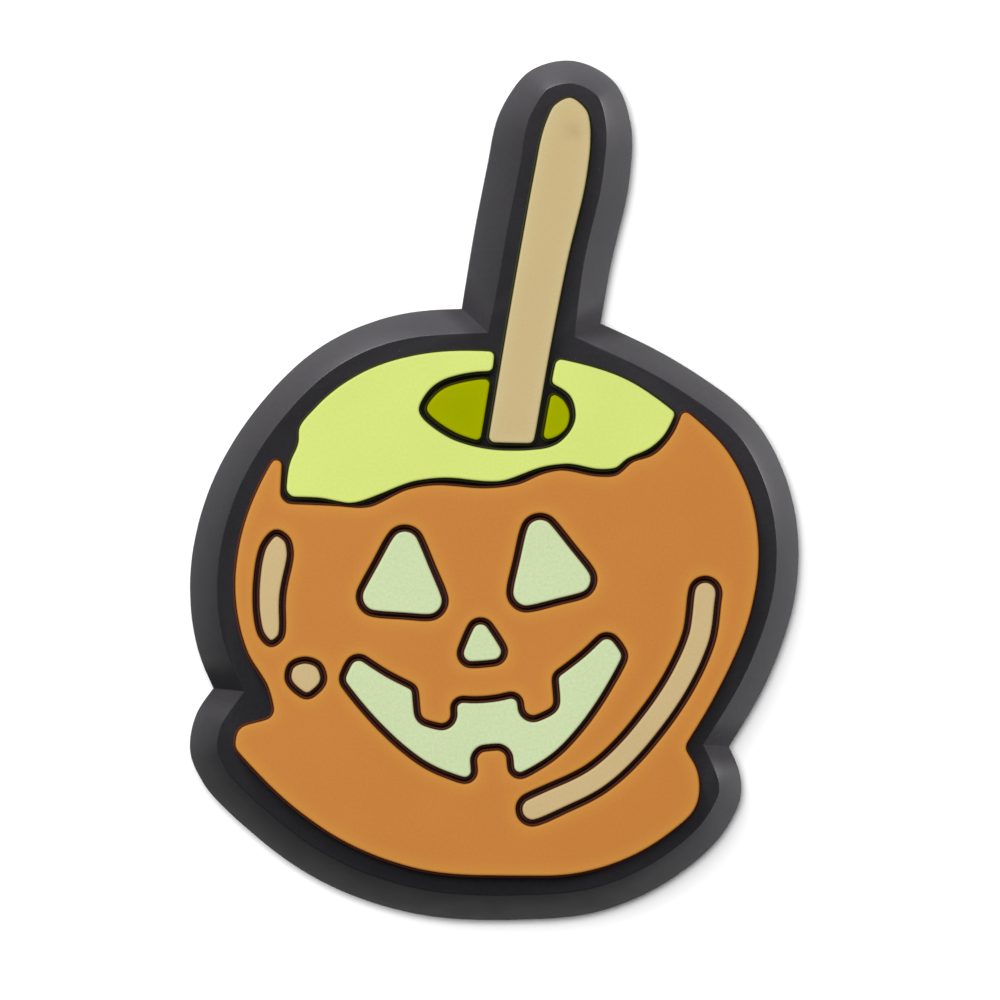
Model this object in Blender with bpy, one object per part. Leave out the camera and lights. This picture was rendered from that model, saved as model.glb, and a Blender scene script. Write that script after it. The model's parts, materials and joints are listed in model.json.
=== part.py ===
"""Soft rubber charm in the form of a toffee apple on its stick.

A charcoal body with sloped sides carries low coloured panels: the caramel coat,
the green skin round the stick, two dimples, the stick, three gleams and a carved
lantern face. The strips of body left bare between the panels are the dark lines.
The charm lies on its flat back, face up, with the stick along +Y.
"""

import math

import bmesh
import bpy
import numpy as np
from mathutils import Vector
from mathutils.geometry import interpolate_bezier

MM = 0.001

# Driving dimensions, in millimetres.
BODY_HEIGHT = 3.0          # flat back to flat face
LAND_HEIGHT = 0.7          # upright part of the side, under the slope
BACK_ROUNDING = 0.12       # eased edge of the back
SLOPE_WIDTH = 1.34         # slope seen from above, round the apple
STICK_SLOPE_WIDTH = 1.53   # the same beside the stick
STICK_SLOPE_FROM = 8.5     # the wider slope begins at this Y ...
STICK_SLOPE_TO = 11.0      # ... is full here ...
STICK_SLOPE_END = 17.0     # ... and narrows again towards the rounded end
SLOPE_BULGE = 0.07         # how far the slope swells past a straight line
SLOPE_STEPS = 3

PANEL_SEAT = 0.05          # clearance under each panel
PANEL_TOP = 0.45           # panel face above the body's face
PANEL_DRAFT = 0.06         # lean of the panel's wall
PANEL_SHOULDER = 0.14      # rounded edge of the panel's face
GROOVE = 0.3               # bare strip of body between two panels

FACE_CENTRE = (-0.95, -7.05)
FACE_TILT = 5.0            # degrees, counter-clockwise
LEFT_EYE = ((-6.5, 1.3), (-1.5, 0.5), (-3.3, 6.1))
EYE_CORNER = 0.75          # radius
NOSE = ((-1.3, -1.95), (1.3, -1.95), (0.0, 0.5))
NOSE_CORNER = 0.45
UPPER_LIP = (6.6, -1.1, 3.0)      # half width, height of its ends, depth of its bow
LOWER_LIP = (7.3, -2.3, 5.9)
MOUTH_END_RADIUS = 0.45
TOOTH_WIDTH = 2.2
TOOTH_LENGTH = 1.75
UPPER_TEETH = (-2.7, 2.7)
LOWER_TEETH = (0.0,)
TOOTH_TIP_RADIUS = 0.8
TOOTH_ROOT_RADIUS = 0.35

# Outlines, in millimetres, counter-clockwise. A third number makes the point a
# corner rounded to that radius, or left sharp if it is 0; the other points lie on
# smooth stretches.
BODY = (
    (4.0, 22.48), (1.85, 21.95), (0.42, 20.1), (-0.5, 16.4), (-1.73, 9.45, 0),
    (-5.0, 9.15), (-8.65, 7.75), (-12.65, 4.0), (-15.02, -0.2), (-15.95, -5.1),
    (-15.45, -8.65), (-14.72, -10.4, 0), (-15.63, -11.8), (-15.9, -13.9),
    (-15.35, -15.18), (-13.02, -17.67), (-9.13, -20.46), (-4.7, -22.07),
    (1.2, -22.5), (5.3, -22.1), (9.55, -20.16), (12.15, -17.65), (12.88, -16.0),
    (12.88, -15.2), (12.25, -13.45, 0), (14.52, -9.4), (15.83, -4.9),
    (15.65, -0.75), (13.8, 3.4), (9.95, 6.46), (5.52, 8.7, 0), (6.05, 11.7),
    (7.1, 16.7), (7.15, 18.9), (6.25, 21.36),
)
CARAMEL = (
    (-11.2, 2.3, 0.32), (-12.5, 0.0), (-13.47, -2.9), (-13.65, -6.0),
    (-13.0, -8.62), (-11.95, -10.4), (-11.6, -11.9, 0.55), (-13.58, -12.42, 0.8),
    (-13.72, -13.5, 0.7), (-10.65, -16.57), (-8.23, -18.25), (-4.0, -19.84),
    (0.7, -20.16), (4.36, -20.0), (8.53, -18.23), (10.4, -16.37), (10.45, -14.9),
    (9.72, -13.5, 0.5), (11.6, -10.3), (13.15, -6.6), (13.62, -3.4),
    (13.15, -0.35), (11.96, 1.97), (9.65, 4.18, 0.3), (9.0, 2.7), (8.02, 1.72),
    (7.05, 1.4), (6.1, 0.67), (5.35, 0.63), (3.1, 0.94), (2.36, 0.77),
    (1.1, 0.24), (-0.65, 0.02), (-3.5, 0.16), (-4.6, -0.03), (-6.9, -1.0),
    (-8.5, -0.91), (-11.35, -0.8, 0.6), (-11.25, 0.65),
)
SKIN = (
    (-1.3, 7.17), (-3.8, 7.02), (-7.08, 6.02), (-9.7, 4.0), (-10.37, 3.1),
    (-10.42, 2.35), (-10.85, 1.3), (-11.05, -0.5, 0.5), (-9.2, -0.55), (-7.5, -0.8),
    (-6.5, -0.48), (-4.25, 0.35), (-3.0, 0.5), (0.3, 0.37), (2.3, 1.07),
    (3.65, 1.24), (5.4, 0.97), (6.2, 1.07), (6.65, 1.46), (7.9, 2.05), (8.55, 2.6),
    (9.28, 3.94, 0.3), (6.86, 5.61), (3.02, 6.79, 0.35), (2.75, 5.45, 0.3),
    (3.8, 4.7), (4.0, 3.6), (3.25, 2.45), (1.0, 1.99), (-1.0, 2.14), (-2.82, 2.8),
    (-4.1, 4.1), (-3.5, 5.15), (-1.3, 6.0), (-0.27, 6.06, 0.3), (-0.15, 7.12, 0.3),
)
LEFT_DIMPLE = (
    (-0.36, 5.72, 0.3), (-1.6, 5.58), (-3.1, 5.02), (-3.74, 4.15), (-2.62, 3.07),
    (-0.9, 2.4, 0.3),
)
RIGHT_DIMPLE = (
    (2.74, 4.98, 0.28), (2.28, 2.48, 0.28), (3.02, 2.64), (3.62, 3.18), (3.75, 3.9),
    (3.4, 4.62),
)
STICK = (
    (3.75, 20.37), (2.93, 19.97), (2.46, 19.0), (1.85, 16.3), (1.3, 13.3),
    (-0.56, 2.35, 0.35), (1.87, 2.3, 0.35), (3.65, 11.9), (4.7, 16.65),
    (4.84, 18.2), (4.58, 19.78),
)
RIGHT_GLEAM = ((10.8, -5.45), (10.39, -8.02), (8.6, -11.38), (5.45, -14.87), (1.8, -16.7))
RIGHT_GLEAM_HALF_WIDTH = 0.57
LEFT_GLEAM = (
    (-11.5, -2.5), (-12.0, -2.98), (-12.3, -4.05), (-12.44, -5.6), (-12.33, -7.0),
    (-12.15, -7.6), (-11.78, -7.94), (-11.45, -7.7), (-11.36, -7.1), (-11.37, -5.8),
    (-11.2, -4.6), (-10.96, -3.4), (-11.12, -2.75),
)
DOT_GLEAM = (
    (-10.1, -9.1), (-10.65, -9.34), (-10.78, -9.8), (-9.93, -10.72, 0.3),
    (-9.22, -9.9), (-9.43, -9.32),
)

# How finely the outlines are drawn.
CURVE_STEPS = 24           # points along each stretch before thinning
FILLET_STEPS = 10
TURN_STEP = math.radians(9.0)
LONGEST_STEP = 1.6

# Surface colours, sRGB 0-255, and roughness.
COLOURS = {
    "body": (47, 45, 47, 0.55),
    "caramel": (199, 129, 59, 0.5),
    "apple_skin": (217, 229, 126, 0.5),
    "dimple": (158, 167, 1, 0.5),
    "stick": (206, 182, 133, 0.5),
    "gleam": (207, 181, 131, 0.5),
    "glow": (205, 221, 174, 0.5),
}


def clear_scene():
    for obj in list(bpy.data.objects):
        bpy.data.objects.remove(obj, do_unlink=True)


def bezier(start, start_handle, end_handle, end, steps):
    """Points along one cubic stretch, without its last point."""
    ends = [Vector((*point, 0.0)) for point in (start, start_handle, end_handle, end)]
    return [np.array(point.xy) for point in interpolate_bezier(*ends, steps + 1)[:-1]]


def anchor_slopes(places, is_corner):
    """The curve's direction into and out of each anchor, per unit of chord."""
    before = places - np.roll(places, 1, axis=0)
    after = np.roll(places, -1, axis=0) - places
    chord_before = np.linalg.norm(before, axis=1, keepdims=True)
    chord_after = np.linalg.norm(after, axis=1, keepdims=True)
    smooth = (before / chord_before * chord_after + after / chord_after * chord_before)
    smooth /= chord_before + chord_after
    into, out_of = smooth.copy(), smooth.copy()
    count = len(places)
    for i in np.nonzero(is_corner)[0]:
        far_in, far_out = smooth[i - 1], smooth[(i + 1) % count]
        straight_in = before[i] / chord_before[i]
        straight_out = after[i] / chord_after[i]
        into[i] = straight_in if is_corner[i - 1] else 1.5 * straight_in - 0.5 * far_in
        next_is_corner = is_corner[(i + 1) % count]
        out_of[i] = straight_out if next_is_corner else 1.5 * straight_out - 0.5 * far_out
    return into, out_of


def walk(points, corner, direction, distance):
    """The place at a distance along the outline from a corner, and the last index passed."""
    count = len(points)
    i = corner
    while True:
        step = points[(i + direction) % count] - points[i % count]
        length = np.linalg.norm(step)
        if length >= distance:
            return points[i % count] + step * (distance / length), i
        distance -= length
        i += direction


def fillet(points, corner, radius):
    """An arc of the given radius for one corner, and the indices it replaces."""
    incoming = points[corner] - points[corner - 1]
    outgoing = points[(corner + 1) % len(points)] - points[corner]
    cosine = incoming @ outgoing / (np.linalg.norm(incoming) * np.linalg.norm(outgoing))
    turn = math.acos(max(-1.0, min(1.0, cosine)))
    reach = radius * math.tan(turn / 2)
    handle = radius * 4 / 3 * math.tan(turn / 4) / reach
    start, first = walk(points, corner, -1, reach)
    end, last = walk(points, corner, 1, reach)
    tip = points[corner]
    arc = bezier(start, start + (tip - start) * handle, end + (tip - end) * handle,
                 end, FILLET_STEPS)
    return arc + [end], range(first, last + 1)


def thin(points):
    """Keep a point for each step of turn or length, so that arcs stay even."""
    count = len(points)
    kept = []
    turned = walked = 0.0
    for i in range(count):
        step_in = points[i] - points[i - 1]
        step_out = points[(i + 1) % count] - points[i]
        cross = step_in[0] * step_out[1] - step_in[1] * step_out[0]
        turned += abs(math.atan2(cross, step_in @ step_out))
        walked += np.linalg.norm(step_in)
        if i == 0 or turned >= TURN_STEP or walked >= LONGEST_STEP:
            kept.append(points[i])
            turned = walked = 0.0
    return np.array(kept)


def outline(anchors):
    """Closed outline through the anchors, with its corners rounded."""
    places = np.array([anchor[:2] for anchor in anchors], dtype=float)
    is_corner = np.array([len(anchor) == 3 for anchor in anchors])
    into, out_of = anchor_slopes(places, is_corner)
    points = []
    corners = []
    for i, anchor in enumerate(anchors):
        j = (i + 1) % len(anchors)
        third = np.linalg.norm(places[j] - places[i]) / 3
        if is_corner[i] and anchor[2] > 0:
            corners.append((len(points), anchor[2]))
        points += bezier(places[i], places[i] + out_of[i] * third,
                         places[j] - into[j] * third, places[j], CURVE_STEPS)
    arcs = {}
    dropped = set()
    for corner, radius in corners:
        arcs[corner], replaced = fillet(points, corner, radius)
        dropped.update(i % len(points) for i in replaced)
    rounded = []
    for i, point in enumerate(points):
        if i in arcs:
            rounded += arcs[i]
        elif i not in dropped:
            rounded.append(point)
    return thin(rounded)


def left_normals(steps):
    """Unit normals to the left of each step."""
    units = steps / np.linalg.norm(steps, axis=1, keepdims=True)
    return np.stack((-units[:, 1], units[:, 0]), axis=1)


def inset(points, distance):
    """Move a counter-clockwise ring inwards; a negative distance grows it.

    The distance is one number or one for each point.
    """
    steps = np.roll(points, -1, axis=0) - points
    normals = left_normals(steps)
    mitre = normals + np.roll(normals, 1, axis=0)
    mitre *= 2 / np.sum(mitre * mitre, axis=1, keepdims=True)
    return points + mitre * np.reshape(distance, (-1, 1))


def bar(spine, half_width):
    """Outline of a bent bar with round ends, along a smooth spine."""
    places = np.array(spine, dtype=float)
    slopes = np.gradient(places, axis=0)
    centre = []
    for i in range(len(places) - 1):
        third = np.linalg.norm(places[i + 1] - places[i]) / 3
        starts = slopes[i] / np.linalg.norm(slopes[i])
        ends = slopes[i + 1] / np.linalg.norm(slopes[i + 1])
        centre += bezier(places[i], places[i] + starts * third,
                         places[i + 1] - ends * third, places[i + 1], CURVE_STEPS)
    centre = np.array(centre + [places[-1]])
    side = left_normals(np.gradient(centre, axis=0)) * half_width
    ring = list(centre - side)
    ring += half_circle(centre[-1], side[-1])
    ring += list((centre + side)[::-1])
    ring += half_circle(centre[0], -side[0])
    return thin(ring)


def half_circle(centre, side):
    """Points of a round end, from the right side of the bar round to its left."""
    forward = np.array((side[1], -side[0]))
    angles = np.linspace(-math.pi / 2, math.pi / 2, 2 * FILLET_STEPS + 1)[1:-1]
    return [centre + forward * math.cos(angle) + side * math.sin(angle) for angle in angles]


def place_face(points):
    """Turn and move a shape drawn about the face's own centre."""
    tilt = math.radians(FACE_TILT)
    placed = []
    for x, y, *radius in points:
        turned_x = x * math.cos(tilt) - y * math.sin(tilt)
        turned_y = x * math.sin(tilt) + y * math.cos(tilt)
        placed.append((FACE_CENTRE[0] + turned_x, FACE_CENTRE[1] + turned_y, *radius))
    return outline(placed)


def eye(side):
    """Slanted triangular eye: side is -1 on the left and 1 on the right."""
    corners = [(-side * x, y, EYE_CORNER) for x, y in LEFT_EYE]
    return place_face(corners[::-side])


def nose():
    return place_face([(x, y, NOSE_CORNER) for x, y in NOSE])


def lip(shape, teeth, tooth_length):
    """Points of one bowed lip from left to right, with square teeth standing on it."""
    half_width, end_height, depth = shape

    def on_lip(x, *radius, raised=0.0):
        return (x, end_height - depth * (1 - (x / half_width) ** 2) + raised, *radius)

    points = [on_lip(-half_width, MOUTH_END_RADIUS)]
    start = -half_width
    for middle in (*teeth, None):
        last = middle is None
        end = half_width if last else middle - TOOTH_WIDTH / 2
        points += [on_lip(x) for x in np.linspace(start, end, 4)[1:-1]]
        if last:
            break
        start = middle + TOOTH_WIDTH / 2
        points += [
            on_lip(end, TOOTH_ROOT_RADIUS),
            on_lip(end, TOOTH_TIP_RADIUS, raised=tooth_length),
            on_lip(start, TOOTH_TIP_RADIUS, raised=tooth_length),
            on_lip(start, TOOTH_ROOT_RADIUS),
        ]
    return points + [on_lip(half_width, MOUTH_END_RADIUS)]


def mouth():
    lower = lip(LOWER_LIP, LOWER_TEETH, TOOTH_LENGTH)
    upper = lip(UPPER_LIP, UPPER_TEETH, -TOOTH_LENGTH)
    return place_face(lower + upper[::-1])


def material(name, red, green, blue, roughness):
    """Plain rubber of one sRGB colour."""
    made = bpy.data.materials.new(name)
    made.use_nodes = True
    shader = made.node_tree.nodes["Principled BSDF"]
    linear = [(value / 255) ** 2.2 for value in (red, green, blue)]
    shader.inputs["Base Color"].default_value = (*linear, 1.0)
    shader.inputs["Roughness"].default_value = roughness
    shader.inputs["Metallic"].default_value = 0.0
    return made


def add_ring(mesh, points, height):
    return [mesh.verts.new(((x - CENTRE[0]) * MM, (y - CENTRE[1]) * MM, height * MM))
            for x, y in points]


def wall(mesh, rings):
    """Join rings of equal counts, lowest first, with quads."""
    for low, high in zip(rings, rings[1:]):
        for i in range(len(low)):
            j = (i + 1) % len(low)
            mesh.faces.new((low[i], low[j], high[j], high[i]))


def cap(mesh, rings):
    """Fill the flat region between an outer ring and its holes."""
    edges = []
    for ring in rings:
        for i, vertex in enumerate(ring):
            following = ring[(i + 1) % len(ring)]
            edges.append(mesh.edges.get((vertex, following)))
    bmesh.ops.triangle_fill(mesh, edges=edges, use_beauty=True)


def finish_object(name, mesh, surface):
    bmesh.ops.recalc_face_normals(mesh, faces=mesh.faces)
    data = bpy.data.meshes.new(name)
    mesh.to_mesh(data)
    mesh.free()
    data.materials.append(surface)
    data.set_sharp_from_angle(angle=math.radians(30))
    obj = bpy.data.objects.new(name, data)
    bpy.context.scene.collection.objects.link(obj)
    return obj


def loft(name, profile, loops, surface):
    """Closed solid from rings at each height of the profile.

    The profile gives a height and an inset. The first loop is the outside, and
    the others are holes, which grow where the outside shrinks.
    """
    mesh = bmesh.new()
    bottoms, tops = [], []
    for i, loop in enumerate(loops):
        inwards = 1 if i == 0 else -1
        rings = [add_ring(mesh, inset(loop, inwards * distance), height)
                 for height, distance in profile]
        wall(mesh, rings)
        bottoms.append(rings[0])
        tops.append(rings[-1])
    cap(mesh, bottoms)
    cap(mesh, tops)
    return finish_object(name, mesh, surface)


def ease(value):
    value = np.clip(value, 0.0, 1.0)
    return value * value * (3 - 2 * value)


def slope_width(points):
    """Width of the slope at each point: wider along the stick's two sides."""
    heights = points[:, 1]
    rising = ease((heights - STICK_SLOPE_FROM) / (STICK_SLOPE_TO - STICK_SLOPE_FROM))
    ending = ease((heights - STICK_SLOPE_END) / (heights.max() - STICK_SLOPE_END))
    extra = STICK_SLOPE_WIDTH - SLOPE_WIDTH
    return SLOPE_WIDTH + extra * rising * (1 - ending)


def body_profile(points):
    """Back edge, upright land, then the slightly swollen slope up to the face."""
    width = slope_width(points)
    profile = [(0.0, BACK_ROUNDING), (BACK_ROUNDING, 0.0), (LAND_HEIGHT, 0.0)]
    for i in range(1, SLOPE_STEPS + 1):
        part = i / SLOPE_STEPS
        height = LAND_HEIGHT + (BODY_HEIGHT - LAND_HEIGHT) * part
        profile.append((height, width * part - SLOPE_BULGE * 4 * part * (1 - part)))
    return profile


def panel_profile():
    face = BODY_HEIGHT + PANEL_TOP
    return [
        (BODY_HEIGHT + PANEL_SEAT, 0.0),
        (face - PANEL_SHOULDER, PANEL_DRAFT),
        (face, PANEL_DRAFT + PANEL_SHOULDER),
    ]


def add_body(edge):
    loft("body", body_profile(edge), [edge], material("charcoal", *COLOURS["body"]))


def add_panels():
    """The coloured panels; the caramel is open round each panel set into it."""
    glow = material("glow", *COLOURS["glow"])
    gleam = material("gleam", *COLOURS["gleam"])
    dimple = material("dimple", *COLOURS["dimple"])
    in_caramel = {
        "eye_left": (eye(-1), glow),
        "eye_right": (eye(1), glow),
        "nose": (nose(), glow),
        "mouth": (mouth(), glow),
        "gleam_right": (bar(RIGHT_GLEAM, RIGHT_GLEAM_HALF_WIDTH), gleam),
        "gleam_left": (outline(LEFT_GLEAM), gleam),
        "gleam_dot": (outline(DOT_GLEAM), gleam),
    }
    on_body = {
        "apple_skin": (outline(SKIN), material("skin", *COLOURS["apple_skin"])),
        "dimple_left": (outline(LEFT_DIMPLE), dimple),
        "dimple_right": (outline(RIGHT_DIMPLE), dimple),
        "stick": (outline(STICK), material("stick", *COLOURS["stick"])),
    }
    profile = panel_profile()
    for name, (loop, surface) in {**in_caramel, **on_body}.items():
        loft(name, profile, [loop], surface)
    openings = [inset(loop, -GROOVE) for loop, _ in in_caramel.values()]
    coat = material("caramel", *COLOURS["caramel"])
    loft("caramel", profile, [outline(CARAMEL), *openings], coat)


clear_scene()
EDGE = outline(BODY)
CENTRE = (EDGE.min(axis=0) + EDGE.max(axis=0)) / 2
add_body(EDGE)
add_panels()
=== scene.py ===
"""Looks of a soft rubber toffee apple charm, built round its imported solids.

The file is laid out as a Blender add-on. Run as a script, it registers its operators,
calls them in order, and leaves the charm lying face up in a pale studio.
"""

import json
import math

import bmesh
import bpy
from bpy.props import FloatProperty, FloatVectorProperty, IntProperty, PointerProperty
from mathutils import Matrix, Vector
from mathutils.kdtree import KDTree

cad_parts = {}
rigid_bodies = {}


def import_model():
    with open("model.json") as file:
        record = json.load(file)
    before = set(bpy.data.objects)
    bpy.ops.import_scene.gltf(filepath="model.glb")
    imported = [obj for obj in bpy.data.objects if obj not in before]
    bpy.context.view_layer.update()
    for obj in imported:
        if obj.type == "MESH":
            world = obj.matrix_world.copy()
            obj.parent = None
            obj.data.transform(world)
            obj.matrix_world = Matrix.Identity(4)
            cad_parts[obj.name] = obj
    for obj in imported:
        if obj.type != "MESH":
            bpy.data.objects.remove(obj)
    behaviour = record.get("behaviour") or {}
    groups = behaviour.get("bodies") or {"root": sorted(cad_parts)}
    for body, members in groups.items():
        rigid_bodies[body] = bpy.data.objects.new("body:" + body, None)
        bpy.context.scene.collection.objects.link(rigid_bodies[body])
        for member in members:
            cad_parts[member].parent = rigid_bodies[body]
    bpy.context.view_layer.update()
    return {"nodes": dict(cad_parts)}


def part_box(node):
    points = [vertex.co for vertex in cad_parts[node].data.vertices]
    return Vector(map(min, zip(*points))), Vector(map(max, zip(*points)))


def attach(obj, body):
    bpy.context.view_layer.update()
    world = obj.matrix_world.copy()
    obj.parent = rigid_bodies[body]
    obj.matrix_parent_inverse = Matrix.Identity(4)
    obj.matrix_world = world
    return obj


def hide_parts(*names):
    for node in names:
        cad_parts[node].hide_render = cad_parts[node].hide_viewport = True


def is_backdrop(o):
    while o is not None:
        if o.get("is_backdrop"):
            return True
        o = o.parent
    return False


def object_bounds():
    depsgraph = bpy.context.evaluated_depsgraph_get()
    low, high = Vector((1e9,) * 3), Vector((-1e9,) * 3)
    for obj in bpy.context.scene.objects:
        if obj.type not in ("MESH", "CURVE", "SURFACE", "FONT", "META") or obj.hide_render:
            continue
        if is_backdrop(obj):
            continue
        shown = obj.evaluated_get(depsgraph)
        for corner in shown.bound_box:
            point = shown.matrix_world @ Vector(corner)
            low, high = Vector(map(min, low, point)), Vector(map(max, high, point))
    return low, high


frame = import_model()

bl_info = {
    "name": "Toffee Apple Charm",
    "version": (1, 0, 0),
    "blender": (4, 5, 0),
    "location": "3D Viewport > Sidebar > Charm",
    "description": "Soft rubber toffee apple charm and the studio it lies in",
    "category": "Add Mesh",
}

MM = 0.001
WELD = 0.001 * MM          # packed triangles are loose: corners this close are one
LEVEL = 0.005 * MM         # heights this close are one level
FLAT = 0.99                # a face whose normal rises this much is level
SHARP = math.radians(35)   # an outline that turns this much at once has a corner
CREASE = math.radians(18)  # faces that meet at more than this get a rounded edge


def srgb(red, green, blue):
    """A colour given on a 0-255 screen scale, as scene linear."""
    linear = []
    for value in (red, green, blue):
        part = value / 255
        linear.append(part / 12.92 if part <= 0.04045 else ((part + 0.055) / 1.055) ** 2.4)
    return tuple(linear)


def length(name, description, millimetres):
    return FloatProperty(name=name, description=description, default=millimetres * MM,
                         min=0.0, unit="LENGTH", subtype="DISTANCE", precision=5)


def colour(name, description, *screen):
    return FloatVectorProperty(name=name, description=description, default=srgb(*screen),
                               min=0.0, max=1.0, size=3, subtype="COLOR")


def factor(name, description, value, most=1.0):
    return FloatProperty(name=name, description=description, default=value, min=0.0,
                         max=most, subtype="FACTOR")


def watts(name, description, value):
    return FloatProperty(name=name, description=description, default=value, min=0.0,
                         unit="POWER")


class CharmShape(bpy.types.PropertyGroup):
    """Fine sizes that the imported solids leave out."""

    outline_steps: IntProperty(
        name="Outline steps", default=3, min=1,
        description="Points drawn on the smooth curve between two packed corners")
    outline_gap: length(
        "Outline gap", "Longest step along a panel's outline", 0.14)
    outline_rounds: IntProperty(
        name="Outline rounds", description="Rounds of smoothing along an outline", default=6)
    panel_sink: length("Panel sink", "How far a panel's foot reaches into the body", 0.02)
    flash: length("Flash", "Reach of the thin film of colour round a panel's foot", 0.1)
    flash_height: length("Flash height", "Thickness of that film", 0.012)
    hollow: length("Hollow", "Radius between the film and the wall", 0.05)
    wall_lean: length("Wall lean", "How far a panel's wall leans in", 0.02)
    shoulder: length("Shoulder", "Radius along the edge of a panel's face", 0.12)
    hollow_steps: IntProperty(
        name="Hollow steps", description="Facets round a hollow", default=2, min=1)
    shoulder_steps: IntProperty(
        name="Shoulder steps", description="Facets round a shoulder", default=5, min=2)
    face_margin: length("Face margin", "Level strip inside each shoulder", 0.02)
    face_grid: length("Face grid", "Mesh size across a panel's face", 0.3)
    # Reach of the painted highlight along a panel's rim.
    rim_reach: length("Rim reach", "How far the rim's tint spreads over a face", 0.9)
    body_edge: length("Body edge", "Rounding along the body's edges", 0.035)
    valley_reach: length("Valley reach", "How far the dull skin of a valley spreads", 1.8)
    edge_segments: IntProperty(
        name="Edge segments", description="Facets across a rounded edge", default=4, min=1)


class CharmColours(bpy.types.PropertyGroup):
    """Pigments of the poured rubber, and the dark colours of the painted shade in its grooves.
    """

    charcoal: colour("Charcoal", "Body", 24, 23, 25)
    caramel: colour("Caramel", "Coat", 175, 109, 40)
    skin: colour("Skin", "Bare apple round the stick", 188, 201, 106)
    dimple: colour("Dimple", "Hollow at the foot of the stick", 135, 143, 0)
    stick: colour("Stick", "Wooden stick", 177, 156, 112)
    gleam: colour("Gleam", "Highlights on the coat", 179, 157, 112)
    glow: colour("Glow", "Lantern face", 179, 193, 150)
    # Painted shade: dark colours laid over the panels' shoulders, walls and foot film,
    # darkening the grooves.
    brown: colour("Brown", "Film in the grooves of the coat", 64, 20, 2)
    olive: colour("Olive", "Film in the grooves round the stick", 34, 36, 4)
    lint: colour("Lint", "Specks that settle on the rubber", 190, 188, 184)


class CharmStudio(bpy.types.PropertyGroup):
    """Camera, floor and lights."""

    camera_distance: FloatProperty(
        name="Camera distance", description="From the lens to the face", default=0.45,
        min=0.1, unit="LENGTH", subtype="DISTANCE")
    field: length("Field", "Width of the picture at the charm's face", 52.0)
    lean_left: FloatProperty(
        name="Lean left", description="Camera's lean from upright towards -X",
        default=math.radians(3.3), subtype="ANGLE")
    lean_down: FloatProperty(
        name="Lean down", description="Camera's lean from upright towards -Y",
        default=math.radians(1.3), subtype="ANGLE")
    aim_x: FloatProperty(
        name="Aim X", description="Middle of the picture from the charm's middle",
        default=0.11 * MM, unit="LENGTH", subtype="DISTANCE", precision=5)
    aim_y: FloatProperty(
        name="Aim Y", description="Middle of the picture from the charm's middle",
        default=-0.6 * MM, unit="LENGTH", subtype="DISTANCE", precision=5)
    floor: colour("Floor", "Studio floor", 246, 246, 246)
    ambient: factor("Ambient", "Light from all round", 0.15, 4.0)
    main_distance: FloatProperty(
        name="Main distance", description="From the charm to the large softbox", default=0.5,
        min=0.1, unit="LENGTH", subtype="DISTANCE")
    main: watts("Main", "Large softbox above the upper left, on the panels and the floor", 4.0)
    raking: factor("Raking", "Strength of the low softboxes that rake the body", 1.0, 4.0)


# Mesh helpers ---------------------------------------------------------------


def welded_copy(node):
    """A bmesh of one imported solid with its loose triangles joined."""
    mesh = bmesh.new()
    mesh.from_mesh(frame["nodes"][node].data)
    bmesh.ops.remove_doubles(mesh, verts=mesh.verts, dist=WELD)
    return mesh


def levels(mesh):
    """The heights at which a solid has corners, lowest first."""
    heights = []
    for height in sorted(vertex.co.z for vertex in mesh.verts):
        if not heights or height - heights[-1] > LEVEL:
            heights.append(height)
    return heights


def rings_at(mesh, height):
    """The closed rings of edges at one height, as lists of places in order."""
    left = {
        edge for edge in mesh.edges
        if all(abs(vertex.co.z - height) < LEVEL for vertex in edge.verts)
        and any(abs(face.normal.z) < FLAT for face in edge.link_faces)
    }
    rings = []
    for start in sorted(left, key=lambda edge: edge.index):
        if start not in left:
            continue
        left.remove(start)
        ring = list(start.verts)
        while True:
            onward = [edge for edge in ring[-1].link_edges if edge in left]
            if not onward:
                break
            left.remove(onward[0])
            following = onward[0].other_vert(ring[-1])
            if following is ring[0]:
                break
            ring.append(following)
        rings.append([vertex.co.copy() for vertex in ring])
    return rings


def is_sharp(before, place, after):
    """Whether a ring turns a sharp corner at its middle place."""
    return (place - before).xy.angle((after - place).xy, 0.0) > SHARP


def smooth_loops(rings, steps, longest=None, rounds=0):
    """A bmesh of wire loops: each ring redrawn as a curve that is smooth between corners."""
    curve = bpy.data.curves.new("outline", "CURVE")
    curve.dimensions = "3D"
    curve.resolution_u = steps
    for ring in rings:
        spline = curve.splines.new("BEZIER")
        spline.bezier_points.add(len(ring) - 1)
        for i, point in enumerate(spline.bezier_points):
            point.co = ring[i]
            sharp = is_sharp(ring[i - 1], ring[i], ring[(i + 1) % len(ring)])
            point.handle_left_type = point.handle_right_type = "VECTOR" if sharp else "AUTO"
        spline.use_cyclic_u = True
    guide = bpy.data.objects.new("outline", curve)
    bpy.context.scene.collection.objects.link(guide)
    seen = bpy.context.evaluated_depsgraph_get()
    seen.update()
    drawn = bpy.data.meshes.new_from_object(guide.evaluated_get(seen))
    mesh = bmesh.new()
    mesh.from_mesh(drawn)
    bpy.data.meshes.remove(drawn)
    bpy.data.objects.remove(guide)
    bpy.data.curves.remove(curve)
    if longest:
        for cuts in (3, 1):
            long = [edge for edge in mesh.edges if edge.calc_length() > longest]
            bmesh.ops.subdivide_edges(mesh, edges=long, cuts=cuts)
    for _ in range(rounds):
        bmesh.ops.smooth_vert(mesh, verts=mesh.verts[:], factor=0.5,
                              use_axis_x=True, use_axis_y=True, use_axis_z=False)
    return mesh


def faces_in(result, key="geom"):
    return [item for item in result[key] if isinstance(item, bmesh.types.BMFace)]


def corners_of(faces):
    return list({vertex for face in faces for vertex in face.verts})


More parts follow.
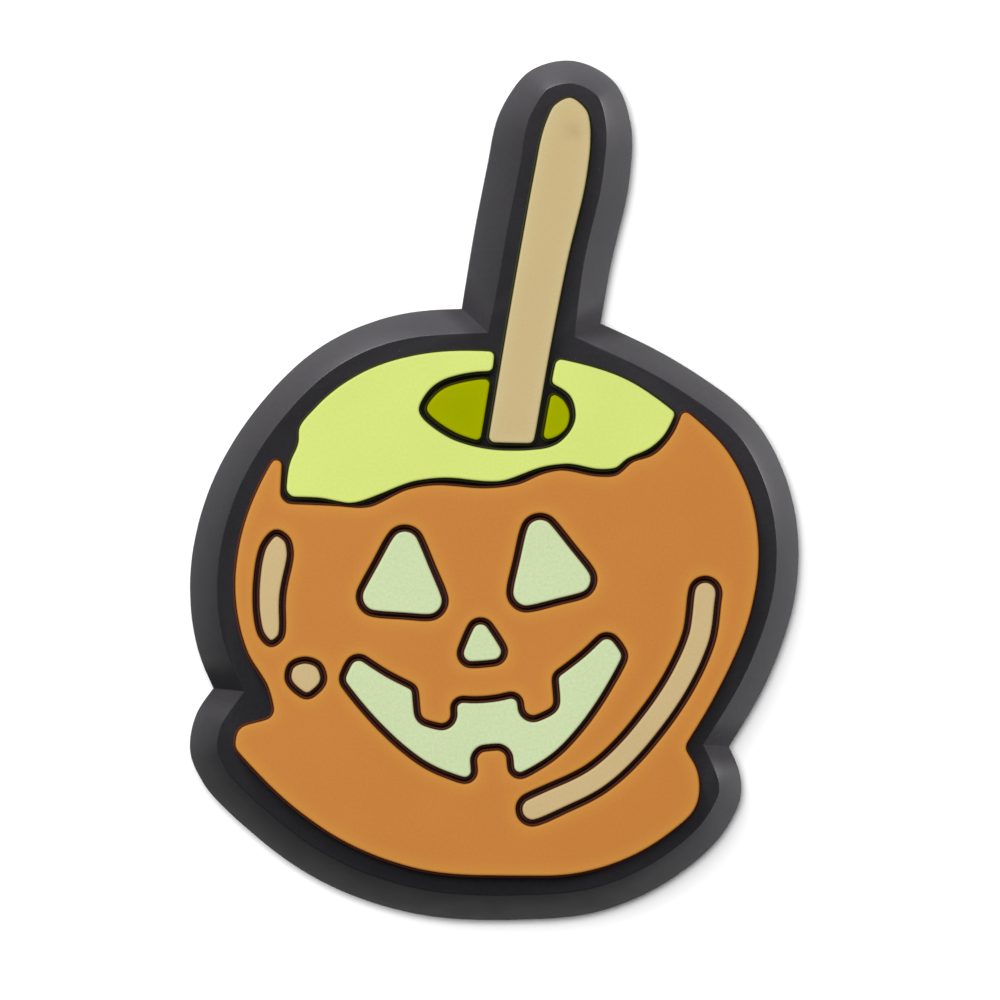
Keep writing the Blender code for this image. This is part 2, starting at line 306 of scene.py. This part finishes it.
def mark_inwards(mesh):
    """Store at each corner of a level sheet's rim the level direction into the sheet."""
    inwards = mesh.verts.layers.float_vector.new("inwards")
    for edge in mesh.edges:
        if edge.is_boundary:
            corner = edge.link_loops[0]
            along = (corner.link_loop_next.vert.co - corner.vert.co).normalized()
            for vertex in edge.verts:
                vertex[inwards] += Vector((-along.y, along.x, 0.0))
    for vertex in mesh.verts:
        vertex[inwards] = vertex[inwards].normalized()
    return inwards


def climb(mesh, faces, inwards, reach, rise):
    """Lift the faces on a new band of wall and draw their rim in; return the lifted faces."""
    edges = dict.fromkeys(edge for face in faces for edge in face.edges)
    lifted = faces_in(bmesh.ops.extrude_face_region(mesh, geom=[*faces, *edges]))
    for vertex in corners_of(lifted):
        vertex.co += vertex[inwards] * reach + Vector((0.0, 0.0, rise))
    return lifted


def finish_piece(name, mesh, material, node):
    """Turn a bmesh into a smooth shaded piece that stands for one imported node."""
    bmesh.ops.recalc_face_normals(mesh, faces=mesh.faces)
    for face in mesh.faces:
        face.smooth = True
    data = bpy.data.meshes.new(name)
    mesh.to_mesh(data)
    mesh.free()
    data.materials.append(material)
    piece = bpy.data.objects.new(name, data)
    bpy.context.scene.collection.objects.link(piece)
    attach(piece, "root")
    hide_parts(node)
    return piece


def quarter(steps):
    """Angles from 0 to a quarter turn."""
    return [math.pi / 2 * step / steps for step in range(steps + 1)]


def panel_profile(shape, ground, top):
    """Draw-in and height of each ring up a panel's side, from its foot to its face."""
    shaded_film = ground + shape.flash_height
    lean, shoulder, hollow = shape.wall_lean, shape.shoulder, shape.hollow
    profile = [(-shape.flash, ground - shape.panel_sink), (-shape.flash, shaded_film)]
    for turn in quarter(shape.hollow_steps):
        profile.append((hollow * (math.sin(turn) - 1), shaded_film + hollow * (1 - math.cos(turn))))
    for turn in quarter(shape.shoulder_steps):
        profile.append((lean + shoulder * (1 - math.cos(turn)),
                        top - shoulder * (1 - math.sin(turn))))
    profile.append((lean + shoulder + shape.face_margin, top))
    return profile


def cut_grid(mesh, faces, spacing):
    """Cut a level sheet of faces along a square grid; return the faces."""
    corners = corners_of(faces)
    sheet = set(faces)
    within = [edge for edge in {edge for face in faces for edge in face.edges}
              if sheet.issuperset(edge.link_faces)]
    faces = bmesh.ops.dissolve_limit(mesh, angle_limit=math.radians(1), edges=within,
                                     use_dissolve_boundaries=False)["region"]
    geometry = [*faces, *{edge for face in faces for edge in face.edges}, *corners]
    for axis in (Vector((1, 0, 0)), Vector((0, 1, 0))):
        reach = [corner.co.dot(axis) for corner in corners if corner.is_valid]
        for i in range(math.ceil(min(reach) / spacing), math.ceil(max(reach) / spacing)):
            geometry = bmesh.ops.bisect_plane(
                mesh, geom=geometry, dist=WELD / 10, plane_co=axis * i * spacing,
                plane_no=axis)["geom"]
    return faces_in({"geom": geometry})


def grade_near(mesh, vertices, places, reach):
    """Store how near some corners are to the nearest place: 1 there, and 0 past the reach."""
    nearness = mesh.verts.layers.float["nearness"]
    tree = KDTree(len(places))
    for i, place in enumerate(places):
        tree.insert(place, i)
    tree.balance()
    for vertex in vertices:
        vertex[nearness] = max(0.0, 1.0 - tree.find(vertex.co)[2] / reach)


def grade_rim(mesh, faces, reach):
    """Grade a panel: 1 on its sides, falling to 0 across its level face."""
    nearness = mesh.verts.layers.float.new("nearness")
    for vertex in mesh.verts:
        vertex[nearness] = 1.0
    inner = set(faces)
    rim = [vertex.co for vertex in corners_of(faces)
           if any(face not in inner for face in vertex.link_faces)]
    grade_near(mesh, corners_of(faces), rim, reach)


def add_panel(name, node, material, shape):
    """A poured panel: a film at its foot, a leaning wall, a rounded shoulder, a level face."""
    solid = welded_copy(node)
    heights = levels(solid)
    mesh = smooth_loops(rings_at(solid, heights[0]), shape.outline_steps,
                        shape.outline_gap, shape.outline_rounds)
    solid.free()
    bmesh.ops.triangle_fill(mesh, edges=mesh.edges[:], use_beauty=True,
                            use_dissolve=False, normal=(0, 0, 1))
    inwards = mark_inwards(mesh)
    profile = panel_profile(shape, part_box("body")[1].z, heights[-1])
    foot_reach, foot_height = profile[0]
    for vertex in mesh.verts:
        vertex.co += vertex[inwards] * foot_reach
        vertex.co.z = foot_height
    face = mesh.faces[:]
    for (reach, height), (next_reach, next_height) in zip(profile, profile[1:]):
        face = climb(mesh, face, inwards, next_reach - reach, next_height - height)
    face = cut_grid(mesh, face, shape.face_grid)
    grade_rim(mesh, face, shape.rim_reach)
    return finish_piece(name, mesh, material, node)


def wire_loops(mesh):
    """The separate loops of a wire mesh, each as a list of edges."""
    left = set(mesh.edges)
    loops = []
    for start in mesh.edges:
        if start not in left:
            continue
        loop, reached = [], [start]
        while reached:
            edge = reached.pop()
            if edge not in left:
                continue
            left.remove(edge)
            loop.append(edge)
            reached += [near for vertex in edge.verts for near in vertex.link_edges]
        loops.append(loop)
    return loops


def add_body(name, node, material, shape):
    """The charcoal body: back, upright land, swollen slope and level face."""
    solid = welded_copy(node)
    heights = levels(solid)
    rings = [rings_at(solid, height)[0] for height in heights[1:]]
    solid.free()
    mesh = smooth_loops(rings, shape.outline_steps)
    loops = wire_loops(mesh)
    for vertex in {vertex for edge in loops[0] for vertex in edge.verts}:
        vertex.co.z = heights[0]
    for low, high in zip(loops, loops[1:]):
        bmesh.ops.bridge_loops(mesh, edges=low + high)
    for loop in (loops[0], loops[-1]):
        bmesh.ops.contextual_create(mesh, geom=loop)
    bmesh.ops.recalc_face_normals(mesh, faces=mesh.faces)
    creases = [edge for edge in mesh.edges if edge.calc_face_angle(0.0) > CREASE]
    valleys = [low.co.lerp(high.co, step / 8) for low, high in
               (edge.verts for edge in creases if not edge.is_convex) for step in range(9)]
    creases = [edge for edge in creases if edge.is_convex]
    bmesh.ops.bevel(mesh, geom=creases, offset=shape.body_edge, offset_type="OFFSET",
                    segments=shape.edge_segments, profile=0.5, affect="EDGES", material=-1,
                    clamp_overlap=False)
    for edge in mesh.edges:
        edge.smooth = edge.is_convex or edge.calc_face_angle(0.0) < CREASE
    ends = [face for face in mesh.faces if abs(face.normal.z) > FLAT and len(face.verts) > 8]
    bmesh.ops.inset_region(mesh, faces=ends, thickness=shape.face_margin,
                           use_boundary=True, use_even_offset=True)
    mesh.verts.layers.float.new("nearness")
    grade_near(mesh, mesh.verts, valleys, shape.valley_reach)
    return finish_piece(name, mesh, material, node)


# Materials --------------------------------------------------------------------


def feed(tree, socket, value):
    """Link a socket into an input, or set the input to a plain value."""
    if isinstance(value, bpy.types.NodeSocket):
        tree.links.new(value, socket)
    else:
        socket.default_value = value


def add(tree, kind, inputs=None, **settings):
    """Add a shader node with its settings and its inputs by name; return the node."""
    node = tree.nodes.new(f"ShaderNode{kind}")
    for name, value in settings.items():
        setattr(node, name, value)
    for name, value in (inputs or {}).items():
        feed(tree, node.inputs[name], value)
    return node


def maths(tree, operation, first, second=0.0):
    node = add(tree, "Math", operation=operation)
    feed(tree, node.inputs[0], first)
    feed(tree, node.inputs[1], second)
    return node.outputs["Value"]


def remap(tree, value, low, high, new_low=0.0, new_high=1.0, smooth=True):
    """Stretch a value from one range to another, clamped at both ends."""
    node = add(tree, "MapRange", {"Value": value, "From Min": low, "From Max": high,
                                  "To Min": new_low, "To Max": new_high},
               interpolation_type="SMOOTHSTEP" if smooth else "LINEAR")
    return node.outputs["Result"]


def blend(tree, amount, under, over, mode="MIX"):
    """Lay one colour over another by an amount."""
    node = add(tree, "Mix", data_type="RGBA", blend_type=mode)
    sockets = {socket.identifier: socket for socket in node.inputs}
    feed(tree, sockets["Factor_Float"], amount)
    feed(tree, sockets["A_Color"], under)
    feed(tree, sockets["B_Color"], over)
    return next(out for out in node.outputs if out.identifier == "Result_Color")


def noise(tree, place, size, detail=2.0, rough=0.5):
    """Soft noise whose lumps are about one size across, from 0 to 1."""
    scale = maths(tree, "DIVIDE", 1.0, size)
    node = add(tree, "TexNoise", {"Vector": place, "Scale": scale, "Detail": detail,
                                  "Roughness": rough})
    return node.outputs["Fac"]


def start_group(name, inputs, outputs):
    """A node group with named sockets; return it with its inner ends."""
    tree = bpy.data.node_groups.new(name, "ShaderNodeTree")
    for direction, sockets in (("INPUT", inputs), ("OUTPUT", outputs)):
        for label, (kind, value) in sockets.items():
            socket = tree.interface.new_socket(
                name=label, in_out=direction, socket_type=f"NodeSocket{kind}")
            if value is not None:
                socket.default_value = value
    return tree, tree.nodes.new("NodeGroupInput").outputs, \
        tree.nodes.new("NodeGroupOutput").inputs


def place_group(tree, group, inputs):
    """Use a shared group in a material; return its outputs."""
    node = tree.nodes.new("ShaderNodeGroup")
    node.node_tree = group
    for name, value in inputs.items():
        feed(tree, node.inputs[name], value)
    return node.outputs


def cast_grain():
    """Height of a matt moulded skin: fine grain on a faint swell."""
    tree, given, result = start_group(
        "Cast grain",
        {"Place": ("Vector", None), "Grain Size": ("Float", 0.12 * MM),
         "Swell Size": ("Float", 2.5 * MM), "Swell": ("Float", 1.0)},
        {"Height": ("Float", None)})
    grain = noise(tree, given["Place"], given["Grain Size"], detail=3.0, rough=0.6)
    swell = noise(tree, given["Place"], given["Swell Size"], detail=1.0)
    raised = maths(tree, "MULTIPLY", swell, given["Swell"])
    feed(tree, result["Height"], maths(tree, "ADD", grain, raised))
    return tree


def pigment_mottle():
    """A pigment with soft clouds and a fine grain of lighter and darker colour."""
    tree, given, result = start_group(
        "Pigment mottle",
        {"Place": ("Vector", None), "Pigment": ("Color", (0.5, 0.5, 0.5, 1.0)),
         "Cloud Size": ("Float", 4.0 * MM), "Clouds": ("Float", 0.04),
         "Fleck Size": ("Float", 0.15 * MM), "Flecks": ("Float", 0.04)},
        {"Colour": ("Color", None)})
    level = 1.0
    for size, amount in (("Cloud Size", "Clouds"), ("Fleck Size", "Flecks")):
        pattern = noise(tree, given["Place"], given[size], detail=2.0)
        swing = maths(tree, "SUBTRACT", pattern, 0.5)
        swing = maths(tree, "MULTIPLY", swing, maths(tree, "MULTIPLY", given[amount], 4.0))
        level = maths(tree, "ADD", level, swing)
    scaled = add(tree, "VectorMath", {"Vector": given["Pigment"], "Scale": level},
                 operation="SCALE")
    feed(tree, result["Colour"], scaled.outputs["Vector"])
    return tree


def settled_dust():
    """Mask of a few tiny specks of lint, scattered over a surface."""
    tree, given, result = start_group(
        "Settled dust",
        {"Place": ("Vector", None), "Spacing": ("Float", 0.8 * MM),
         "Speck Size": ("Float", 0.03 * MM), "Share": ("Float", 0.25)},
        {"Mask": ("Float", None)})
    cells = add(tree, "TexVoronoi",
                {"Vector": given["Place"],
                 "Scale": maths(tree, "DIVIDE", 1.0, given["Spacing"])})
    chance = add(tree, "SeparateColor", {"Color": cells.outputs["Color"]})
    dusty = maths(tree, "LESS_THAN", chance.outputs["Red"], given["Share"])
    reach = maths(tree, "DIVIDE", given["Speck Size"], given["Spacing"])
    reach = maths(tree, "MULTIPLY", reach, chance.outputs["Green"])
    inside = maths(tree, "DIVIDE", cells.outputs["Distance"],
                   maths(tree, "ADD", reach, 0.0001))
    speck = remap(tree, inside, 1.0, 0.4)
    feed(tree, result["Mask"], maths(tree, "MULTIPLY", speck, dusty))
    return tree


def height_band():
    """Mask that rises from 0 to 1 between two heights, either way up."""
    tree, given, result = start_group(
        "Height band",
        {"Place": ("Vector", None), "From": ("Float", 0.0), "To": ("Float", 1.0)},
        {"Mask": ("Float", None)})
    height = add(tree, "SeparateXYZ", {"Vector": given["Place"]}).outputs["Z"]
    feed(tree, result["Mask"], remap(tree, height, given["From"], given["To"]))
    return tree


def shared(make):
    """A node group built once and then reused."""
    name = make.__name__.replace("_", " ").capitalize()
    return bpy.data.node_groups.get(name) or make()


def start_material(name, roughness, specular):
    """A material with its shader and its object coordinates."""
    material = bpy.data.materials.new(name)
    material.use_nodes = True
    tree = material.node_tree
    shader = tree.nodes["Principled BSDF"]
    shader.inputs["Roughness"].default_value = roughness
    shader.inputs["Specular IOR Level"].default_value = specular
    place = add(tree, "TexCoord").outputs["Object"]
    return material, tree, shader, place


def roughen(tree, shader, height, depth):
    bump = add(tree, "Bump", {"Height": height, "Distance": depth, "Strength": 1.0})
    feed(tree, shader.inputs["Normal"], bump.outputs["Normal"])


def panel_rubber(name, pigment, shaded_film, colours, rim=(1.0, 1.0, 1.0),
                 gloss=(1.0, 1.0, 1.0), flecks=0.03, smudge=None):
    """Matt coloured rubber, poured into the charcoal body, paler along its rim by a painted
    highlight, and darkened down its shoulder and wall by painted shade.
    """
    material, tree, shader, place = start_material(name, 0.6, 0.19)
    shader.inputs["Specular Tint"].default_value = (*gloss, 1.0)
    colour = place_group(tree, shared(pigment_mottle), {
        "Place": place, "Pigment": (*pigment, 1.0), "Clouds": 0.02, "Flecks": flecks,
    })["Colour"]
    # Painted highlight: near the panel's sides the colour is lifted by the rim tint, fading
    # out across the face.
    near = add(tree, "Attribute", attribute_name="nearness").outputs["Fac"]
    painted_rim_highlight = add(tree, "VectorMath", {0: colour, 1: rim}, operation="MULTIPLY")
    colour = blend(tree, maths(tree, "POWER", near, 2.0), colour, painted_rim_highlight.outputs["Vector"])
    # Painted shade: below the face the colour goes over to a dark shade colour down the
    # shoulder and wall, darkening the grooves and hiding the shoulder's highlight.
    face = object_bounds()[1][2]
    groove_shade_mask = place_group(tree, shared(height_band), {
        "Place": place, "From": face - 0.02 * MM, "To": face - 0.13 * MM,
    })["Mask"]
    colour = blend(tree, groove_shade_mask, colour, (*shaded_film, 1.0))
    if smudge:
        middle, reach = smudge
        away = add(tree, "VectorMath", {0: place, 1: middle}, operation="DISTANCE")
        ragged = maths(tree, "ADD", away.outputs["Value"],
                       maths(tree, "MULTIPLY", noise(tree, place, 0.4 * MM), reach))
        mark = remap(tree, ragged, 1.5 * reach, 0.5 * reach, 0.0, 0.12)
        colour = blend(tree, mark, colour, (*colours.charcoal, 1.0))
    dust = place_group(tree, shared(settled_dust), {"Place": place, "Share": 0.05})["Mask"]
    colour = blend(tree, maths(tree, "MULTIPLY", dust, 0.5), colour, (*colours.lint, 1.0))
    feed(tree, shader.inputs["Base Color"], colour)
    grain = place_group(tree, shared(cast_grain), {"Place": place})["Height"]
    roughen(tree, shader, grain, 0.004 * MM)
    return material


def body_rubber(colours):
    """Charcoal rubber with faint clouds and a little lint, duller in its valleys."""
    material, tree, shader, place = start_material("charcoal rubber", 0.45, 0.125)
    shader.inputs["Specular Tint"].default_value = (1.0, 0.96, 1.02, 1.0)
    colour = place_group(tree, shared(pigment_mottle), {
        "Place": place, "Pigment": (*colours.charcoal, 1.0),
        "Clouds": 0.1, "Fleck Size": 0.2 * MM, "Flecks": 0.15,
    })["Colour"]
    dust = place_group(tree, shared(settled_dust), {
        "Place": place, "Spacing": 0.4 * MM, "Share": 0.3})["Mask"]
    colour = blend(tree, maths(tree, "MULTIPLY", dust, 0.12), colour, (*colours.lint, 1.0))
    feed(tree, shader.inputs["Base Color"], colour)
    patches = noise(tree, place, 1.5 * MM)
    near = add(tree, "Attribute", attribute_name="nearness").outputs["Fac"]
    feed(tree, shader.inputs["Roughness"], maths(
        tree, "ADD", remap(tree, patches, 0.3, 0.7, 0.42, 0.48),
        remap(tree, near, 0.0, 0.8, 0.0, 0.52)))
    grain = place_group(tree, shared(cast_grain), {"Place": place})["Height"]
    roughen(tree, shader, grain, 0.006 * MM)
    return material


def floor_paper(colours):
    """Smooth white card."""
    material, tree, shader, place = start_material("studio card", 0.9, 0.2)
    colour = place_group(tree, shared(pigment_mottle), {
        "Place": place, "Pigment": (*colours, 1.0), "Cloud Size": 0.1, "Clouds": 0.002,
        "Fleck Size": 0.0005, "Flecks": 0.002,
    })["Colour"]
    feed(tree, shader.inputs["Base Color"], colour)
    return material


# Operators --------------------------------------------------------------------


class CharmOperator:
    bl_options = {"REGISTER", "UNDO"}

    @staticmethod
    def panels(context, pigment, shaded_film, pieces, **finish):
        # The second colour is painted shade for the grooves; the rim tint is a painted
        # highlight.
        colours, shape = context.scene.charm_colours, context.scene.charm_shape
        material = panel_rubber(f"{pigment} rubber", getattr(colours, pigment),
                                getattr(colours, shaded_film), colours, **finish)
        for name, node in pieces:
            add_panel(name, node, material, shape)
        return {"FINISHED"}


class CHARM_OT_body(CharmOperator, bpy.types.Operator):
    """Build the charcoal body with its sloped sides"""

    bl_idname = "charm.body"
    bl_label = "Body"

    def execute(self, context):
        colours, shape = context.scene.charm_colours, context.scene.charm_shape
        add_body("charcoal_body", "body", body_rubber(colours), shape)
        return {"FINISHED"}


class CHARM_OT_coat(CharmOperator, bpy.types.Operator):
    """Pour the caramel coat"""

    bl_idname = "charm.coat"
    bl_label = "Caramel coat"

    def execute(self, context):
        # The rim tint is a painted highlight along the coat's edge.
        return self.panels(context, "caramel", "brown", [("caramel_coat", "caramel")],
                           rim=(1.05, 1.2, 1.15))


class CHARM_OT_skin(CharmOperator, bpy.types.Operator):
    """Pour the bare skin of the apple round the stick"""

    bl_idname = "charm.skin"
    bl_label = "Apple skin"

    def execute(self, context):
        return self.panels(context, "skin", "olive", [("skin_ring", "apple_skin")])


class CHARM_OT_dimples(CharmOperator, bpy.types.Operator):
    """Pour the two dark patches at the foot of the stick"""

    bl_idname = "charm.dimples"
    bl_label = "Dimples"

    def execute(self, context):
        sides = ("left", "right")
        # The rim tint is a painted highlight along the dimples' edge.
        return self.panels(context, "dimple", "olive",
                           [(f"dimple_patch_{side}", f"dimple_{side}") for side in sides],
                           rim=(1.06, 1.04, 1.2), gloss=(1.0, 1.0, 0.0))


class CHARM_OT_stick(CharmOperator, bpy.types.Operator):
    """Pour the stick"""

    bl_idname = "charm.stick"
    bl_label = "Stick"

    def execute(self, context):
        # The rim tint is a painted highlight along the stick's edge.
        return self.panels(context, "stick", "olive", [("wood_stick", "stick")],
                           rim=(1.02, 1.08, 1.1),
                           smudge=((3.95 * MM, 18.6 * MM, 3.45 * MM), 0.9 * MM))


class CHARM_OT_gleams(CharmOperator, bpy.types.Operator):
    """Pour the highlights set into the coat"""

    bl_idname = "charm.gleams"
    bl_label = "Gleams"

    def execute(self, context):
        shapes = ("right", "left", "dot")
        return self.panels(context, "gleam", "brown",
                           [(f"gleam_panel_{shape}", f"gleam_{shape}") for shape in shapes])


class CHARM_OT_lantern(CharmOperator, bpy.types.Operator):
    """Pour the pale green lantern face"""

    bl_idname = "charm.lantern"
    bl_label = "Lantern face"

    def execute(self, context):
        features = ("eye_left", "eye_right", "nose", "mouth")
        return self.panels(context, "glow", "brown",
                           [(f"lantern_{feature}", feature) for feature in features],
                           flecks=0.06)


class CHARM_OT_stage(bpy.types.Operator):
    """Lay the pale floor and set the camera and the soft lights"""

    bl_idname = "charm.stage"
    bl_label = "Studio"
    bl_options = {"REGISTER", "UNDO"}

    def execute(self, context):
        studio = context.scene.charm_studio
        lay_floor(studio)
        set_camera(context.scene, studio)
        set_lights(context.scene, studio)
        context.scene.view_settings.view_transform = "Standard"
        return {"FINISHED"}


def lay_floor(studio):
    mesh = bmesh.new()
    bmesh.ops.create_grid(mesh, x_segments=1, y_segments=1, size=1.5,
                          matrix=Matrix.Translation((0, 0, -0.02 * MM)))
    data = bpy.data.meshes.new("floor")
    mesh.to_mesh(data)
    mesh.free()
    data.materials.append(floor_paper(studio.floor))
    floor = bpy.data.objects.new("floor", data)
    bpy.context.scene.collection.objects.link(floor)
    floor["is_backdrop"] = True


def set_camera(scene, studio):
    """A long lens almost straight above, with the stick's end at the top."""
    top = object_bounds()[1][2]
    aim = Vector((studio.aim_x, studio.aim_y, top))
    back = Vector((-math.sin(studio.lean_left), -math.sin(studio.lean_down), 1.0)).normalized()
    right = Vector((0, 1, 0)).cross(back).normalized()
    up = back.cross(right)
    data = bpy.data.cameras.new("studio camera")
    data.sensor_width = 36.0
    data.lens = data.sensor_width * studio.camera_distance / studio.field
    data.clip_start = 0.01
    camera = bpy.data.objects.new("studio camera", data)
    rotation = Matrix((right, up, back)).transposed().to_4x4()
    camera.matrix_world = Matrix.Translation(aim + back * studio.camera_distance) @ rotation
    scene.collection.objects.link(camera)
    scene.camera = camera


def add_softbox(scene, receivers, distance, azimuth, elevation, size, power):
    """A square area light aimed at the charm; azimuth 0 is +Y, 90 is +X."""
    turn, rise = math.radians(azimuth), math.radians(elevation)
    away = Vector((math.sin(turn) * math.cos(rise), math.cos(turn) * math.cos(rise),
                   math.sin(rise)))
    name = f"softbox {azimuth:g} {elevation:g}"
    data = bpy.data.lights.new(name, "AREA")
    data.shape = "SQUARE"
    data.size = size
    data.energy = power
    light = bpy.data.objects.new(name, data)
    light.location = away * distance
    light.rotation_euler = away.to_track_quat("Z", "Y").to_euler()
    light.visible_camera = False
    light.light_linking.receiver_collection = receivers
    scene.collection.objects.link(light)


# Azimuth, elevation, distance, size and power of the low softboxes; the last one is a
# small one close to the stick's end.
RAKING_BOXES = (
    (67.5, 7, 0.5, 0.1, 7.2), (112.5, 7, 0.5, 0.1, 1.6), (337.5, 7, 0.5, 0.1, 2.9),
    (337.5, 15, 0.5, 0.15, 5.1), (315, 30, 0.5, 0.3, 2.0), (0, 50, 0.5, 0.3, 1.9),
    (5, 15, 0.06, 0.015, 0.018),
)


def set_lights(scene, studio):
    """Even soft light; the black rubber gets its own, so that its slopes can be read."""
    world = bpy.data.worlds.new("studio")
    world.use_nodes = True
    backdrop = world.node_tree.nodes["Background"]
    backdrop.inputs["Color"].default_value = (1.0, 1.0, 1.0, 1.0)
    backdrop.inputs["Strength"].default_value = studio.ambient
    scene.world = world
    black, bright = (bpy.data.collections.new(name) for name in ("black rubber", "bright"))
    for piece in scene.objects:
        if piece.type == "MESH" and not piece.hide_render:
            group = black if piece.name == "charcoal_body" else bright
            group.objects.link(piece)
    add_softbox(scene, bright, studio.main_distance, 315, 66, 0.45, studio.main)
    for azimuth, elevation, distance, size, power in RAKING_BOXES:
        add_softbox(scene, black, distance, azimuth, elevation, size,
                    power * studio.raking)


class CHARM_PT_panel(bpy.types.Panel):
    """Lists the charm's pieces in the sidebar"""

    bl_idname = "CHARM_PT_panel"
    bl_label = "Toffee apple charm"
    bl_space_type = "VIEW_3D"
    bl_region_type = "UI"
    bl_category = "Charm"

    def draw(self, context):
        for operator in OPERATORS:
            self.layout.operator(operator.bl_idname)
        for group in (context.scene.charm_shape, context.scene.charm_colours,
                      context.scene.charm_studio):
            box = self.layout.box()
            for name in group.bl_rna.properties.keys():
                if name not in ("rna_type", "name"):
                    box.prop(group, name)


OPERATORS = (
    CHARM_OT_body, CHARM_OT_coat, CHARM_OT_skin, CHARM_OT_dimples, CHARM_OT_stick,
    CHARM_OT_gleams, CHARM_OT_lantern, CHARM_OT_stage,
)
CLASSES = (CharmShape, CharmColours, CharmStudio, *OPERATORS, CHARM_PT_panel)


def register():
    for item in CLASSES:
        bpy.utils.register_class(item)
    bpy.types.Scene.charm_shape = PointerProperty(type=CharmShape)
    bpy.types.Scene.charm_colours = PointerProperty(type=CharmColours)
    bpy.types.Scene.charm_studio = PointerProperty(type=CharmStudio)


def unregister():
    for name in ("charm_shape", "charm_colours", "charm_studio"):
        delattr(bpy.types.Scene, name)
    for item in reversed(CLASSES):
        bpy.utils.unregister_class(item)


def main():
    register()
    bpy.ops.charm.body()
    bpy.ops.charm.coat()
    bpy.ops.charm.skin()
    bpy.ops.charm.dimples()
    bpy.ops.charm.stick()
    bpy.ops.charm.gleams()
    bpy.ops.charm.lantern()
    bpy.ops.charm.stage()
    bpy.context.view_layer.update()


if __name__ == "__main__":
    main()
